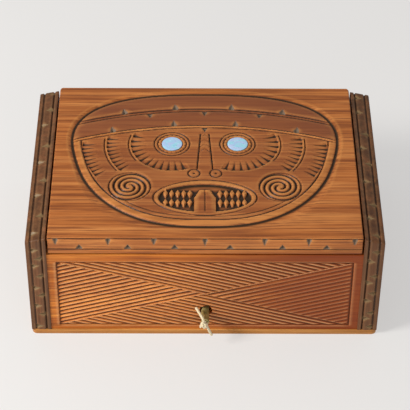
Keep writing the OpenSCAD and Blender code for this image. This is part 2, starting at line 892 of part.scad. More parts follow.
module lid_staple() {
    bar_z = spindle_z + tooth_r - bar_gap - wire_r;
    color(brass) {
        staple_legs(0);
        translate([spindle_x + arm_w / 2 + tooth_l / 2, arm_y, bar_z])
            rotate([90, 0, 0])
                cylinder(r = wire_r, h = 2 * staple_half(), center = true);
        for (side = [-1, 1])
            translate([spindle_x + arm_w / 2 + tooth_l / 2, arm_y + side * staple_half(), bar_z])
                sphere(r = wire_r);
    }
}

// The key is a short barrel with a square socket for the spindle. Its string goes in at a hole in
// the outer end and comes out at the cross-hole below.
module key_barrel() {
    length = key_out + key_in;
    socket = square_w + 2 * 0.15;
    hole_r = string_r + 0.35;
    color(brass)
        translate([spindle_x, front_y - key_out, spindle_z])
            rotate([-90, 0, 0])
                difference() {
                    rotate_extrude()
                        polygon([[0, 0], [key_r - 0.5, 0], [key_r, 0.5], [key_r, length - 0.3],
                                 [key_r - 0.3, length], [0, length]]);
                    translate([-socket / 2, -socket / 2, length - key_in - 1])
                        cube([socket, socket, key_in + beyond]);
                    translate([0, 0, -1])
                        cylinder(r = hole_r, h = cross_in + hole_r + 1);
                    translate([0, 0, cross_in])
                        rotate([-90, 0, 0])
                            cylinder(r = hole_r, h = 2 * key_r);
                }
}

// The string's routes, round the middle of the key's outer end: the upper tail leans back to the
// front panel, the loop runs through the key's end and back to the knot, and the lower tail hangs
upper_route = [[-1.4, -2.25, 1.2], [-1.38, -2.15, 2.2], [-1.4, -1.9, 3.7], [-1.67, -1.1, 4.9],
               [-2.64, 0.3, 5.9], [-4.05, 2.6, 6.7], [-5.6, 5.5, 7.2], [-6.9, 8.3, 7.1]];
lower_route = [[1.05, -2.45, -1.4], [1.6, -2.45, -2.4], [2.5, -2.4, -4.7], [3.6, -2.3, -7.9],
               [4.6, -2.1, -10.9]];
loop_route = [[-0.1, -1.1, 0], [0, -0.2, 0], [0, 1.2, -0.1], [0, 2.1, -0.9], [0, 2.3, -2.4],
              [0, 2.3, -3.9], [-0.1, 1.4, -4.9], [-0.3, 0, -5.1], [-0.7, -1.3, -4.3], [-1.05, -2, -3],
              [-1.2, -2.2, -1.7]];
knot_lobes = [[-2.6, -2.3, -0.8], [0.5, -2.3, -0.2]];

function unit(v) = v / norm(v);

// A tube of radius r along a route, as rings of eight points square to it. The route never runs
// along the direction aside.
module tube(route, r, aside) {
    n = len(route);
    side = 8;
    function along(i) = unit(route[min(i + 1, n - 1)] - route[max(i - 1, 0)]);
    function across(i) = unit(cross(along(i), aside));
    points = [for (i = [0:n - 1]) for (k = [0:side - 1])
        let (u = across(i), v = cross(along(i), u), a = 360 * k / side)
        route[i] + r * (cos(a) * u + sin(a) * v)];
    walls = [for (i = [0:n - 2]) for (k = [0:side - 1])
        let (a = i * side + k, b = i * side + (k + 1) % side)
        [a, b, b + side, a + side]];
    ends = [[for (k = [side - 1:-1:0]) k], [for (k = [0:side - 1]) (n - 1) * side + k]];
    polyhedron(points, concat(walls, ends), convexity = 4);
}

module string_place() {
    translate([spindle_x, front_y - key_out, spindle_z]) children();
}

module string_upper() {
    color(cotton) string_place() tube(upper_route, string_r, [0.2, 1, 0.1]);
}

module string_loop() {
    color(cotton) string_place() tube(loop_route, string_r, [1, 0, 0]);
}

module string_lower() {
    color(cotton) string_place() tube(lower_route, string_r, [0.2, 1, 0.1]);
}

// The knot is two rounded turns of string side by side, in front of the key's end
module string_knot() {
    color(cotton)
        string_place()
            for (lobe = knot_lobes)
                translate(lobe)
                    rotate_extrude($fn = 24)
                        polygon([[0, -2.6], [1.3, -2.2], [2, -0.9], [2, 0.9], [1.3, 2.2], [0, 2.6]]);
}

base_board();
left_end_board();
right_end_board();
front_panel();
back_panel();
lid_board();
left_shell_disc();
right_shell_disc();
left_hinge_body_leaf();
right_hinge_body_leaf();
left_hinge_lid_leaf();
right_hinge_lid_leaf();
left_hinge_pin();
right_hinge_pin();
hinge_body_screws();
hinge_lid_screws();
base_screws();
bearing_plate();
plate_screws();
lock_spindle();
latch_arm();
spindle_nut();
lid_staple();
key_barrel();
string_upper();
string_knot();
string_loop();
string_lower();
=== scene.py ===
import math
import bmesh
import bpy
import numpy as np
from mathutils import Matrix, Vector


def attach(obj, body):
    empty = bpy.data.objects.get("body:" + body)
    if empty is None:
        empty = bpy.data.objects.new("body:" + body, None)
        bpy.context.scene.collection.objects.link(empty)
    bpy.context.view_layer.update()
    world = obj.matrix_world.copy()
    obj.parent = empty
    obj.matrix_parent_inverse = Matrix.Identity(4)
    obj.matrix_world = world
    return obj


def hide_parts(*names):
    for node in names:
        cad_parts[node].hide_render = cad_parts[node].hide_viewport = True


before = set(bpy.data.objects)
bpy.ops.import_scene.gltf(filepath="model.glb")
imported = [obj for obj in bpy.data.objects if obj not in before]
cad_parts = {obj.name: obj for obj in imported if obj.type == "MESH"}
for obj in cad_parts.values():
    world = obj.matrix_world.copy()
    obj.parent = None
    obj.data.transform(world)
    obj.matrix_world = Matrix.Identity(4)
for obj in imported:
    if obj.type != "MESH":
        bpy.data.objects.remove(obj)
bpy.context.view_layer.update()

mm = 0.001


def clearSelection():
    if bpy.context.mode != "OBJECT":
        bpy.ops.object.mode_set(mode="OBJECT")
    bpy.ops.object.select_all(action="DESELECT")


def pick(piece):
    clearSelection()
    piece.select_set(True)
    bpy.context.view_layer.objects.active = piece


# The camera, fitted to the box's straight edges
view = {"lens": 154.0, "place": (-0.0082, -1.0035, 0.9638), "turn": (47.756, -0.373, -0.151)}

clearSelection()
bpy.ops.object.camera_add(location=view["place"], rotation=[math.radians(a) for a in view["turn"]])
camera = bpy.context.object
camera.data.lens = view["lens"]
camera.data.sensor_width = 36
bpy.context.scene.camera = camera
print("camera placed")

# The key's string, in mm round the middle of the key's outer end. It runs from the upper tip down
# to the knot, turns round it, goes through the key's end and back up, and hangs down.
string = {
    "end": (0.4, -97.5, 23.2),
    "radius": 1.05,         # over the strands
    "length": 0.068, "diameter": 0.002,     # as declared, in metres
    "lobe": 0.13,           # depth of the three strands
    "lay": 5.5,             # one turn of the strands
    "tip": (0.5, 0.45),     # an end narrows over this length to this share
    "sides": 18, "step": 0.22, "rounding": 6,
    "knot": {"middle": (-1.05, -2.25, -0.5), "reach": (2.35, 0.97, 1.6), "from": 324, "turns": 2.4,
             "points": 19},
    "upper": [(-6.9, 8.3, 7.1), (-5.6, 5.5, 7.2), (-4.05, 2.6, 6.7), (-2.64, 0.3, 5.9),
              (-1.67, -1.1, 4.9), (-1.37, -1.9, 3.7), (-1.3, -2.2, 2.2), (-1.6, -2.3, 0.8),
              (-2.4, -2.1, -0.3)],
    "through": [(0.7, -1.1, -0.3), (0.15, -0.5, 0), (0, 0.6, 0), (0, 1.7, -0.4), (0, 2.3, -1.7),
                (0, 2.3, -3.6), (-0.1, 1.6, -4.9), (-0.3, 0.2, -5.2), (-0.6, -1.2, -4.5),
                (-0.7, -2.0, -3.0), (-0.3, -2.3, -1.3)],
    "lower": [(0.5, -2.4, -0.6), (1.4, -2.5, -1.9), (2.5, -2.45, -4.7), (3.6, -2.3, -7.9),
              (5.0, -2.1, -11.6)],
}


def smoothRoute(points, step, rounding):
    points = np.array(points, float)
    ends = np.vstack([2 * points[0] - points[1], points, 2 * points[-1] - points[-2]])
    fine = []
    for i in range(1, len(ends) - 2):
        p0, p1, p2, p3 = ends[i - 1:i + 3]
        for t in np.linspace(0, 1, 24, endpoint=False):
            fine.append(0.5 * (2 * p1 + (p2 - p0) * t + (2 * p0 - 5 * p1 + 4 * p2 - p3) * t ** 2
                               + (3 * p1 - p0 - 3 * p2 + p3) * t ** 3))
    fine.append(ends[-2])
    fine = np.array(fine)
    run = np.concatenate([[0], np.cumsum(np.linalg.norm(np.diff(fine, axis=0), axis=1))])
    stops = np.linspace(0, run[-1], int(run[-1] / step) + 1)
    route = np.stack([np.interp(stops, run, fine[:, k]) for k in range(3)], 1)
    for again in range(rounding):       # takes the sharpest bends off
        route[1:-1] = (route[:-2] + 2 * route[1:-1] + route[2:]) / 4
    return route


def makeString():
    s = string
    middle, reach, start, count, points = s["knot"].values()
    turns = []
    for t in np.linspace(0, 1, points):
        a = math.radians(start - 360 * count * t)
        turns.append((middle[0] + reach[0] * (2 * t - 1), middle[1] - reach[1] * math.cos(a),
                      middle[2] + reach[2] * math.sin(a)))
    points = s["upper"] + turns + s["through"] + s["lower"]
    route = smoothRoute(points, s["step"], s["rounding"])
    n, sides = len(route), s["sides"]
    along = np.gradient(route, axis=0)
    along /= np.linalg.norm(along, axis=1)[:, None]
    across = np.zeros_like(route)
    side = np.cross(along[0], (0.2, 1, 0.1))
    for i in range(n):          # carried along without twist
        side = side - along[i] * side.dot(along[i])
        side /= np.linalg.norm(side)
        across[i] = side
    other = np.cross(along, across)
    run = np.arange(n) * s["step"]
    angle = 2 * math.pi * np.arange(sides) / sides
    twist = 2 * math.pi * run / s["lay"]
    lobes = np.cos(3 * (angle[None, :] - twist[:, None]))
    toEnd = np.minimum(run, run[-1] - run)
    tipLength, tipShare = s["tip"]
    taper = np.sqrt(np.clip(toEnd / tipLength, 0, 1)) * (1 - tipShare) + tipShare
    radius = s["radius"] * (1 - s["lobe"] / 2 + s["lobe"] / 2 * lobes) * taper[:, None]
    outward = (np.cos(angle)[None, :, None] * across[:, None, :]
               + np.sin(angle)[None, :, None] * other[:, None, :])
    rings = route[:, None, :] + radius[:, :, None] * outward
    clearSelection()
    bpy.ops.mesh.primitive_cylinder_add(vertices=sides, radius=1, depth=1, end_fill_type="NGON")
    tube = bpy.context.object
    tube.name = tube.data.name = "keyString"
    bpy.ops.object.mode_set(mode="EDIT")
    bpy.ops.mesh.select_all(action="SELECT")
    bpy.ops.mesh.delete(type="VERT")
    bpy.ops.object.mode_set(mode="OBJECT")
    bm = bmesh.new()
    place = np.array(s["end"])
    verts = [bm.verts.new((p + place) * mm) for p in rings.reshape(-1, 3)]
    for i in range(n - 1):
        for k in range(sides):
            a, b = i * sides + k, i * sides + (k + 1) % sides
            bm.faces.new([verts[a], verts[b], verts[b + sides], verts[a + sides]])
    bm.faces.new(verts[:sides][::-1])
    bm.faces.new(verts[-sides:])
    bmesh.ops.recalc_face_normals(bm, faces=bm.faces)
    bm.to_mesh(tube.data)
    bm.free()
    # the grooves between the strands, which the string's finish darkens as painted shade
    tube.data.attributes.new("cavity", "FLOAT", "POINT").data.foreach_set("value", -lobes.ravel())
    pick(tube)
    bpy.ops.object.shade_smooth()
    path = [tuple((p + place) * mm) for p in route]
    print("string of", round(run[-1], 1), "mm")
    return tube, path


keyString, stringPath = makeString()
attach(keyString, "key")
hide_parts("string_upper", "string_knot", "string_loop", "string_lower")


# Carved boards. A board is a grid whose rows follow its outline, from the lower front edge over
# the top to the back, and whose columns run along X. The cuts press the grid in, square to the
# outline.
def boardPath(corners, steps):
    rows = []
    for i in range(len(corners) - 1):
        a, b = np.array(corners[i][:2], float), np.array(corners[i + 1][:2], float)
        way = (b - a) / np.linalg.norm(b - a)
        out = np.array((-way[1], way[0]))
        start, stop = a + way * corners[i][2], b - way * corners[i + 1][2]
        count = max(1, math.ceil(np.linalg.norm(stop - start) / steps[i]))
        for t in np.linspace(0, 1, count + 1):
            rows.append((*(start + (stop - start) * t), *out))
        if i + 2 < len(corners):
            c = np.array(corners[i + 2][:2], float) - b
            nextOut = np.array((-c[1], c[0])) / np.linalg.norm(c)
            r = corners[i + 1][2]
            for k in (1, 2, 3):
                turned = out * math.cos(k * math.pi / 8) + nextOut * math.sin(k * math.pi / 8)
                rows.append((*(stop - out * r + turned * r), *turned))
    return np.array(rows)


def boardColumns(low, high, step, edge):
    near = edge * np.array((0, 0.12, 0.35, 0.65))
    middle = np.linspace(low + edge, high - edge, max(2, int((high - low - 2 * edge) / step)))
    return np.concatenate([low + near, middle, (high - near)[::-1]])


def endRounding(x, low, high, edge):
    e = np.clip(np.minimum(x - low, high - x), 0, edge)
    return edge - np.sqrt(edge ** 2 - (edge - e) ** 2)


def blurred(values, reach):
    for axis in (0, 1):
        pad = [(reach, reach) if k == axis else (0, 0) for k in (0, 1)]
        run = np.cumsum(np.pad(values, pad, mode="edge"), axis=axis)
        run = np.insert(run, 0, 0, axis=axis)
        size = 2 * reach + 1
        upper = np.take(run, range(size, run.shape[axis]), axis=axis)
        lower = np.take(run, range(0, run.shape[axis] - size), axis=axis)
        values = (upper - lower) / size
    return values


def hollows(depth):
    return depth - blurred(blurred(depth, 3), 3)


def makeBoard(name, columns, rows, depth, height=None, narrow=None, splits=(), layers=None):
    nx, ny = len(columns), len(rows)
    clearSelection()
    bpy.ops.mesh.primitive_grid_add(x_subdivisions=nx - 1, y_subdivisions=ny - 1, size=1)
    board = bpy.context.object
    board.name = board.data.name = name
    x = np.tile(columns, (ny, 1))
    if narrow is not None:
        x = x * narrow[:, None]
    y = rows[:, 0:1] - rows[:, 2:3] * depth
    z = rows[:, 1:2] - rows[:, 3:4] * depth
    if height is not None:
        z = height(x, z)
    place = np.stack([x, y, z], 2).reshape(-1, 3) * mm
    board.data.vertices.foreach_set("co", place.ravel())
    layers = {"cavity": hollows(depth), **(layers or {})}
    for label, values in layers.items():
        layer = board.data.attributes.new(label, "FLOAT", "POINT")
        layer.data.foreach_set("value", np.ravel(values))
    bm = bmesh.new()
    bm.from_mesh(board.data)
    bm.verts.ensure_lookup_table()
    at = lambda row, column: bm.verts[row * nx + column]
    first = [at(0, c) for c in range(nx)]
    last = [at(ny - 1, c) for c in range(nx)]
    bm.faces.new(first + last[::-1])
    for c in (0, nx - 1):
        outer = list(range(ny))
        for a, b in splits:         # strips across a rounded corner, from its far side inwards
            strip = outer[outer.index(a):outer.index(b) + 1]
            bm.faces.new([at(r, c) for r in strip])
            outer = outer[:outer.index(a) + 1] + outer[outer.index(b):]
        bm.faces.new([at(r, c) for r in outer])
    bmesh.ops.recalc_face_normals(bm, faces=bm.faces)
    bm.to_mesh(board.data)
    bm.free()
    return board


def cutAway(piece, cutters):
    for cutter in cutters:
        pick(piece)
        cut = piece.modifiers.new("cut", "BOOLEAN")
        cut.operation = "DIFFERENCE"
        cut.object = cutter
        cut.solver = "EXACT"
        bpy.ops.object.modifier_apply(modifier=cut.name)
        bpy.data.objects.remove(cutter)


def boxCutter(low, high):
    clearSelection()
    low, high = np.array(low, float), np.array(high, float)
    bpy.ops.mesh.primitive_cube_add(size=1, location=(low + high) / 2 * mm,
                                    scale=(high - low) * mm)
    return bpy.context.object


def rodCutter(middle, radius, length, turn, sides=48):
    clearSelection()
    bpy.ops.mesh.primitive_cylinder_add(vertices=sides, radius=radius * mm, depth=length * mm,
                                        location=np.array(middle) * mm, rotation=turn)
    return bpy.context.object


def smoothBoard(piece, angle):
    pick(piece)
    bpy.ops.object.shade_smooth_by_angle(angle=math.radians(angle))


# Cuts, as depths in mm over the arrays x and y
def vCut(distance, width, depth):
    return depth * np.clip(1 - distance / (width / 2), 0, 1)


def chips(x, y, places, width, reach, depth, deepest=0.0):
    # notches with their base at a place, pointing along an angle, deepest at a share of the reach
    cut = np.zeros_like(x)
    for px, py, a in places:
        near = (np.abs(x - px) < reach + width) & (np.abs(y - py) < reach + width)
        dx, dy = x[near] - px, y[near] - py
        v = dx * math.cos(a) + dy * math.sin(a)
        u = dy * math.cos(a) - dx * math.sin(a)
        notch = (1 - v / reach - np.abs(u) / (width / 2)) / (1 - deepest)
        notch = np.minimum(notch, v / (deepest * reach) if deepest else (v > -0.15))
        notch = depth * np.clip(notch, 0, 1)
        cut[near] = np.maximum(cut[near], notch)
    return cut


def around(cx, cy, radius, angles, inward):
    turn = math.pi if inward else 0
    return [(cx + radius * math.cos(a), cy + radius * math.sin(a), a + turn)
            for a in np.radians(angles)]


# The lid and its mask
lid = {
    "half": 114.0, "front": -86.2, "back": 87.0, "bottom": 83.2, "top": 98.8,
    "cornerR": 3.0, "edgeR": 0.9, "step": 0.705,
    # on the front: two lines, and notches of a width, reach, depth and share to the deepest point
    "lineLow": 87.0, "lineHigh": 97.3, "line": (1.5, 1.0),
    "hanging": (-108, -70, -37, 0, 43, 75, 108), "hangingCut": (4.6, 6.5, 2.3),
    "standing": (-91, -56, -22, 18, 56, 88), "standingCut": (6.0, 4.8, 2.3, 0.3),
    "hingeX": 72, "hingeL": 32, "pin": (80.8, 82.35), "knuckleR": 2.2,
}
mask = {
    "middleY": 3.0, "halfW": 108.0, "halfH": 75.0, "taper": 0.3,
    "groundDepth": 2.1, "groundW": 5.0, "rim": 5.0, "lineW": 1.9, "lineDepth": 1.5,
    "shoulder": (7.0, 0.6),     # how far the edge is rounded, inwards and down
    "faceDepth": 0.35, "chinLine": 4.6,
    "browR": 300.0, "gap": 2.6, "browNotch": (6.0, 6.6, 2.4, 0.2), "browHollow": 0.5,
    # each brow line: its height and the shares where notches stand and hang
    "brows": ((58.0, (-0.66, -0.24, 0.22, 0.64), (-0.46, 0, 0.46)),
              (38.0, (-0.75, -0.25, 0.25, 0.75), (0,))),
    "eye": (25.0, 16.0), "discR": 7.7, "eyeRings": (10.9, 13.5),
    "petals": 18, "petalCut": (2.6, 2.2, 1.3),
    # each fan: the radius of its bases, its first and last angle, and its wedges
    "fans": ((31.0, 18, -108, 12), (49.5, 7, -37, 9), (68.0, -1, -32, 9)),
    "wedgeL": 14.0, "wedgeDepth": 2.4, "fanLines": ((33.1, -36, 18), (51.6, -37, 7)),
    "cheek": (56.0, -33.0), "cheekR": 15.0,
    "spiral": (3.5, 1.2, 3.4, 2.0),     # first radius, turns, width and depth of its two arms
    "nostril": (8.2, -18.0), "nostrilR": 4.4, "noseTop": 28, "noseLow": -13.5,
    "chevrons": (27, 21.5, 16, 10.5),
    "mouth": (0.0, -45.0), "mouthW": 35.0, "mouthH": 16.0, "mouthDepth": 2.3, "lipLine": 3.4,
    "tongue": 8.0, "teeth": 5, "toothShare": 0.62,
}


def maskOutline(count=150):
    t = np.linspace(0, 2 * math.pi, count, endpoint=False) + 0.01
    cx = np.sign(np.cos(t)) * np.abs(np.cos(t)) ** 0.75
    cy = np.sign(np.sin(t)) * np.abs(np.sin(t)) ** 0.75
    y = mask["halfH"] * cy
    down = np.clip((mask["halfH"] - y) / (2 * mask["halfH"]), 0, 1)
    return np.stack([mask["halfW"] * cx * (1 - mask["taper"] * down ** 1.6), y], 1)


def insideMask(x, y):
    # distance to the outline, above zero inside
    line = maskOutline()
    best = np.full(x.shape, 1e9)
    for (ax, ay), (bx, by) in zip(line, np.roll(line, -1, 0)):
        wx, wy = bx - ax, by - ay
        t = np.clip(((x - ax) * wx + (y - ay) * wy) / (wx * wx + wy * wy), 0, 1)
        best = np.minimum(best, (x - ax - t * wx) ** 2 + (y - ay - t * wy) ** 2)
    rise = np.clip(np.abs(y) / mask["halfH"], 0, 1)
    down = np.clip((mask["halfH"] - y) / (2 * mask["halfH"]), 0, 1)
    width = mask["halfW"] * (1 - mask["taper"] * down ** 1.6) * (1 - rise ** (8 / 3)) ** 0.375
    sign = np.where((np.abs(x) < width) & (np.abs(y) < mask["halfH"]), 1, -1)
    return np.sqrt(best) * sign


def maskRelief(x, y):
    m = mask
    side = np.abs(x)
    edge = insideMask(x, y)
    inside = edge > 0
    width = m["groundW"] + 8 * np.clip((-y - 15) / 55, 0, 1)
    ground = m["groundDepth"] * np.clip(1 + edge / width, 0, 1) ** 1.3
    ground *= np.clip((0.5 - edge) / 1.1, 0, 1)
    shoulderW, shoulderDepth = m["shoulder"]
    shoulder = shoulderDepth * (1 - np.clip(edge / shoulderW, 0, 1)) ** 2
    cuts = [ground, np.where(inside, shoulder, 0)]
    line = lambda distance, share=1.0: vCut(distance, m["lineW"], m["lineDepth"] * share)

    fromCentre = lambda top: np.hypot(x, y - top + m["browR"])
    arc = lambda top: top - m["browR"] + np.sqrt(m["browR"] ** 2 - x ** 2)
    high, low = arc(m["brows"][0][0]), arc(m["brows"][1][0])
    face = inside & (y < low - m["gap"] - 0.5)
    band = np.clip((y - low) / (high - m["gap"] - low), 0, 1)
    hollow = m["browHollow"] * (2 * band - 1) ** 4
    cuts.append(np.where(inside & (y > low) & (y < high), hollow, 0))
    cuts.append(np.where(face & (edge > m["rim"]), m["faceDepth"], 0))
    reach = math.degrees(math.asin(m["halfW"] * 0.86 / m["browR"]))
    notches = []
    upperR, lowerR = m["browR"], m["browR"] - m["gap"]
    for top, standing, hanging in m["brows"]:
        for r in (upperR, lowerR):
            cuts.append(np.where(inside, line(np.abs(fromCentre(top) - r)), 0))
        middle = top - upperR
        notches += around(0, middle, upperR, [90 - share * reach for share in standing], False)
        notches += around(0, middle, lowerR, [90 - share * reach for share in hanging], True)
    plain = np.where(inside, chips(x, y, notches, *m["browNotch"]), 0)
    cuts.append(plain)
    cuts.append(np.where(face, line(np.abs(edge - m["rim"] - 0.9)), 0))
    chin = line(np.abs(edge - m["rim"] - m["chinLine"]), 0.8)
    cuts.append(np.where(face & (y < m["mouth"][1]), chin, 0))

    # ringed eye with its fans of wedges
    ex, ey = m["eye"]
    fromEye = np.hypot(side - ex, y - ey)
    spread = np.degrees(np.arctan2(y - ey, side - ex))
    seat = m["discR"] + 0.35
    cuts.append(np.where(fromEye < seat, 1.1, 0))
    cuts.append(vCut(np.abs(fromEye - seat), 1.6, 1.2))
    for r in m["eyeRings"]:
        cuts.append(line(np.abs(fromEye - r)))
    petalTurns = np.arange(m["petals"]) * 360 / m["petals"] + 90
    petals = around(ex, ey, m["eyeRings"][0] - 0.5, petalTurns, True)
    cuts.append(chips(side, y, petals, *m["petalCut"]))
    for outer, first, last, count in m["fans"]:
        angles = np.linspace(first, last, count)
        half = abs(first - last) / (count - 1) / 2
        wide = 2 * outer * math.sin(math.radians(half)) * 0.96
        wedges = around(ex, ey, outer, angles, True)
        cuts.append(chips(side, y, wedges, wide, m["wedgeL"], m["wedgeDepth"]))
        within = (spread < first + half) & (spread > last - half)
        bed = np.clip((fromEye - outer + m["wedgeL"]) / m["wedgeL"], 0, 1) * (fromEye < outer)
        cuts.append(np.where(within, bed, 0))
    for r, first, last in m["fanLines"]:
        cuts.append(np.where((spread > first) & (spread < last), line(np.abs(fromEye - r)), 0))

    # cheek spiral of two arms inside a ring
    cx, cy = m["cheek"]
    fromCheek = np.hypot(side - cx, y - cy)
    turn = np.degrees(np.arctan2(y - cy, side - cx)) / 360
    firstR, turns, armW, armDepth = m["spiral"]
    pitch = (m["cheekR"] - firstR - 1.6) / turns
    arm = (2 * ((fromCheek - firstR) / pitch - turn)) % 1
    apart = np.minimum(arm, 1 - arm) * pitch / 2
    inRing = (fromCheek > 2.0) & (fromCheek < m["cheekR"] + 0.3)
    cuts.append(np.where(inRing, vCut(apart, armW, armDepth), 0))
    cuts.append(line(np.abs(fromCheek - m["cheekR"] - 0.6)))

    # nose with its two nostril rings
    nx, ny = m["nostril"]
    fromNostril = np.hypot(side - nx, y - ny)
    cuts.append(line(np.abs(fromNostril - m["nostrilR"])))
    cuts.append(vCut(fromNostril, 3.6, 1.5))
    sideLine = 3.2 + (m["noseTop"] - y) * 0.065
    onNose = (y < m["noseTop"]) & (y > m["noseLow"])
    cuts.append(np.where(onNose, line(np.abs(side - sideLine)), 0))
    for top in m["chevrons"]:
        chevron = np.abs(y - top + side * 0.9)
        cuts.append(np.where(side < sideLine - 0.6, vCut(chevron, 1.6, 1.0), 0))

    # mouth: a hollow oval with lips, a tongue and rows of standing diamonds
    u, v = x / m["mouthW"], (y - m["mouth"][1]) / m["mouthH"]
    oval = np.hypot(u, v)
    out = (oval - 1) * np.hypot(x, y - m["mouth"][1]) / np.maximum(oval, 1e-3)
    deep = m["mouthDepth"] * np.clip(-out / 1.0, 0, 1)
    toothW = (m["mouthW"] - m["tongue"]) / (m["teeth"] + 1)
    toothH = m["mouthH"] * m["toothShare"]
    stand = np.zeros_like(x)
    for i in range(m["teeth"]):
        for row in (-1, 1):
            tx, ty = m["tongue"] + toothW * (i + 0.7), m["mouth"][1] + row * toothH / 2
            diamond = 1 - np.abs(side - tx) / (toothW * 0.52) - np.abs(y - ty) / (toothH * 0.52)
            stand = np.maximum(stand, np.clip(2.6 * diamond, 0, 1))
    tongueTop = m["mouth"][1] + m["mouthH"] * 0.55
    tongueW = m["tongue"] * np.clip(0.5 + (tongueTop - y) / (m["mouthH"] * 1.1), 0, 1)
    across = side / np.maximum(tongueW, 0.5)
    tongue = np.where((y < tongueTop) & (across < 1), 1 - 0.35 * across ** 2, 0)
    tongue *= np.clip((tongueTop - y) / 0.8, 0, 1)
    tongue = np.where(side < 0.6, tongue - 0.4, tongue)
    stand = np.maximum(stand, np.clip(tongue, 0, 1))
    cuts.append(deep * (1 - stand))
    cuts.append(np.where(face, line(np.abs(out - m["lipLine"])), 0))
    relief = np.maximum.reduce(cuts)
    tint = np.where(inside & (y > low), 1.0, np.where(face & (edge > m["rim"]), 0.45, 0.0))
    return relief, 1.0 * ((plain > 0.1) & (plain >= relief - 1e-6)), tint


def makeLid():
    s = lid
    path = boardPath([(s["front"], s["bottom"], 0.01), (s["front"], s["top"], s["edgeR"]),
                      (s["back"], s["top"], s["edgeR"]), (s["back"], s["bottom"], 0.4),
                      (s["back"] - s["cornerR"], s["bottom"], 0.01)],
                     [0.55, s["step"], 3.0, 1.0])
    # rows in the rounded corners lie at the same depths above and below
    cornerStart = s["back"] - s["cornerR"]
    below = path[:, 3] < -0.9
    depths = np.array([0.45, 0.8, 1.25, 1.75, 2.3, 3.0])
    rows = [r for r, b in zip(path, below) if not b]
    rows += [(s["back"] - d, s["bottom"], 0, -1) for d in depths]
    rows = np.array(rows)
    columns = boardColumns(-s["half"], s["half"], s["step"], 0.8)
    x = np.tile(columns, (len(rows), 1))
    y = np.tile(rows[:, 0:1], (1, len(columns)))
    z = np.tile(rows[:, 1:2], (1, len(columns)))
    top, front = rows[:, 3] > 0.99, rows[:, 2] < -0.99
    depth = np.zeros_like(x)
    chipped, tint = np.zeros_like(x), np.zeros_like(x)
    depth[top], chipped[top], tint[top] = maskRelief(x[top], y[top] - mask["middleY"])
    fx, fz = x[front], z[front]
    low, high = s["lineLow"], s["lineHigh"]
    lines = np.maximum(vCut(np.abs(fz - low), *s["line"]), vCut(np.abs(fz - high), *s["line"]))
    hanging = [(px, high, -math.pi / 2) for px in s["hanging"]]
    standing = [(px, low + 0.4, math.pi / 2) for px in s["standing"]]
    notches = np.maximum(chips(fx, fz, hanging, *s["hangingCut"]),
                         chips(fx, fz, standing, *s["standingCut"]))
    depth[front] = np.maximum(lines, notches)
    chipped[front] = notches > lines
    cavity = hollows(depth)
    # a faint painted shade along the lid's two ends, where it sits beside the end boards
    cavity[:, [1, 2, -3, -2]] = 0.12
    cavity[:, [0, -1]] = 0
    ends = endRounding(x, -s["half"], s["half"], 0.8)
    ends[rows[:, 3] < -0.5] *= 0.0
    depth = np.maximum(depth, ends)
    inCorner = np.clip((rows[:, 0] - cornerStart) / s["cornerR"], 0, 1)
    narrow = (s["half"] - s["cornerR"] * (1 - np.sqrt(1 - inCorner ** 2))) / s["half"]
    # strips across the corners join rows of equal depth
    topRows = [i for i in np.where(rows[:, 3] > 0.3)[0] if rows[i, 0] > cornerStart - 0.5]
    bottomRows = list(np.where(rows[:, 3] < -0.9)[0])
    splits = []
    for b in bottomRows[1:]:
        a = min(topRows, key=lambda i: abs(rows[i, 0] - rows[b, 0]))
        splits.append((a, b))
    return makeBoard("lidBoard", columns, rows, depth, narrow=narrow, splits=splits,
                     layers={"cavity": cavity, "chipped": chipped, "tint": tint})


lidBoard = makeLid()
cutAway(lidBoard, [rodCutter((side * lid["hingeX"], *lid["pin"]), lid["knuckleR"],
                             lid["hingeL"] + 0.6, (0, math.pi / 2, 0)) for side in (-1, 1)])
smoothBoard(lidBoard, 50)
print("lid carved:", len(lidBoard.data.polygons), "faces")

# The front panel and its flutes
panel = {
    "half": 118.2, "front": -86.2, "inner": -77.2, "bottom": 4.5, "top": 81.5, "edgeR": 0.5,
    "fieldHalf": 108.2, "fieldLow": 9.0, "fieldHigh": 73.5,
    "pitchSide": 3.65, "pitchTop": 3.25, "depth": 1.5, "crest": 0.15,
    "worn": 0.5, "wornFrom": 8, "wornOver": 40,     # the right side's flutes wear to this share
    "stopCut": (1.68, 1.2), "keyhole": (1.0, 23.9), "keyholeR": 4.8,
    "rowStep": 0.34, "columnStep": 0.75,
}


def makePanel():
    s = panel
    rows = boardPath([(s["front"], s["bottom"], 0.01), (s["front"], s["top"], s["edgeR"]),
                      (s["inner"], s["top"], s["edgeR"]), (s["inner"], s["bottom"], 0.01)],
                     [s["rowStep"], 3.0, 40.0])
    columns = np.linspace(-s["half"], s["half"], int(2 * s["half"] / s["columnStep"]))
    x = np.tile(columns, (len(rows), 1))
    z = np.tile(rows[:, 1:2], (1, len(columns)))
    front = rows[:, 2] < -0.99
    middle = (s["fieldLow"] + s["fieldHigh"]) / 2
    halfH = (s["fieldHigh"] - s["fieldLow"]) / 2
    lean = math.atan(halfH / s["fieldHalf"])
    up = z - middle
    upright = np.abs(up) / halfH > np.abs(x) / s["fieldHalf"]
    square = np.where(upright, up * math.cos(lean) + x * math.sin(lean),
                      up * math.cos(lean) - x * math.sin(lean))
    pitch = np.where(upright, s["pitchTop"], s["pitchSide"])
    part = np.abs(2 * ((square / pitch) % 1) - 1)
    flute = s["crest"] + (s["depth"] - s["crest"]) * (1 - part) ** 1.5
    wear = (1 - s["worn"]) * np.clip((x - s["wornFrom"]) / s["wornOver"], 0, 1)
    flute *= np.where(~upright & (x > 0), 1 - wear, 1)
    field = (np.abs(x) < s["fieldHalf"]) & (np.abs(up) < halfH)
    cuts = [np.where(field, flute, 0)]
    sides = np.maximum(np.abs(x) - s["fieldHalf"], np.abs(up) - halfH)
    cuts.append(vCut(np.abs(sides), *s["stopCut"]))
    depth = np.where(front[:, None], np.maximum.reduce(cuts), 0)
    return makeBoard("frontPanel", columns, rows, depth)


